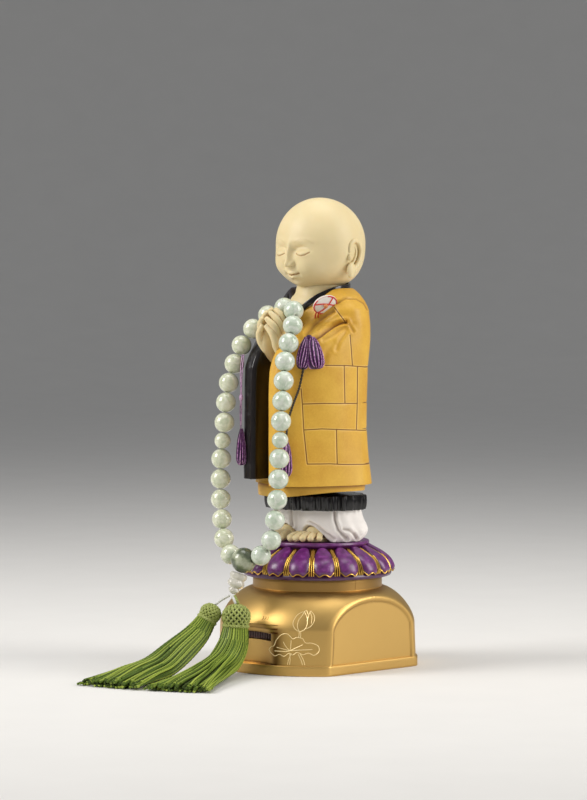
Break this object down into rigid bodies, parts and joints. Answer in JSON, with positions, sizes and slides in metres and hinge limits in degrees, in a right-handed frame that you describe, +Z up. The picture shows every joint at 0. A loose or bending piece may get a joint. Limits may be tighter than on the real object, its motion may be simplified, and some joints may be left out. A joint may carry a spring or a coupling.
{
  "type": "monk figure",
  "caption": "Painted child monk with praying hands on a purple lotus dais and a gold base, with a jade bead rosary over the hands and two green tassels on the floor.",
  "frame": {"origin": "centre of the base's underside", "axes": "+Z up; the monk faces -Y, and the monk's left side is +X"},
  "size_m": [0.0841, 0.1894, 0.2317],
  "materials": {
    "satin_gold": "satin gold paint on a moulded base",
    "dark_strip": "dark, ribbed",
    "purple_lacquer": "purple paint with gold rims",
    "painted_resin": "painted cast resin: cream skin, golden orange robe, black and white cloth",
    "pale_jade": "polished, slightly mottled",
    "banded_jade": "polished, banded",
    "milky_stone": "polished, milky",
    "green_thread": "silky twisted thread"
  },
  "bodies": {
    "root": {"gold_base": "satin_gold", "ribbed_strip": "dark_strip", "lotus_dais": "purple_lacquer", "monk_figure": "painted_resin", "bead_01": "pale_jade", "bead_02": "pale_jade", "bead_03": "pale_jade", "bead_04": "pale_jade", "bead_05": "pale_jade", "bead_06": "pale_jade", "bead_07": "pale_jade", "bead_08": "pale_jade", "bead_09": "pale_jade", "bead_10": "pale_jade", "bead_11": "pale_jade", "bead_12": "pale_jade", "bead_13": "pale_jade", "bead_14": "pale_jade", "bead_15": "pale_jade", "bead_16": "pale_jade", "bead_17": "pale_jade", "bead_18": "pale_jade", "bead_19": "pale_jade", "bead_20": "pale_jade", "bead_21": "pale_jade", "bead_22": "pale_jade", "bead_23": "pale_jade", "bead_24": "pale_jade", "bead_25": "pale_jade", "bead_26": "pale_jade", "bead_27": "pale_jade", "small_bead_1": "pale_jade", "small_bead_2": "pale_jade", "guru_bead": "banded_jade", "stupa_bead": "milky_stone", "tassel_cord_near": "green_thread", "tassel_cap_near": "green_thread", "tassel_skirt_near": "green_thread", "tassel_cord_far": "green_thread", "tassel_cap_far": "green_thread", "tassel_skirt_far": "green_thread"}
  },
  "joints": []
}
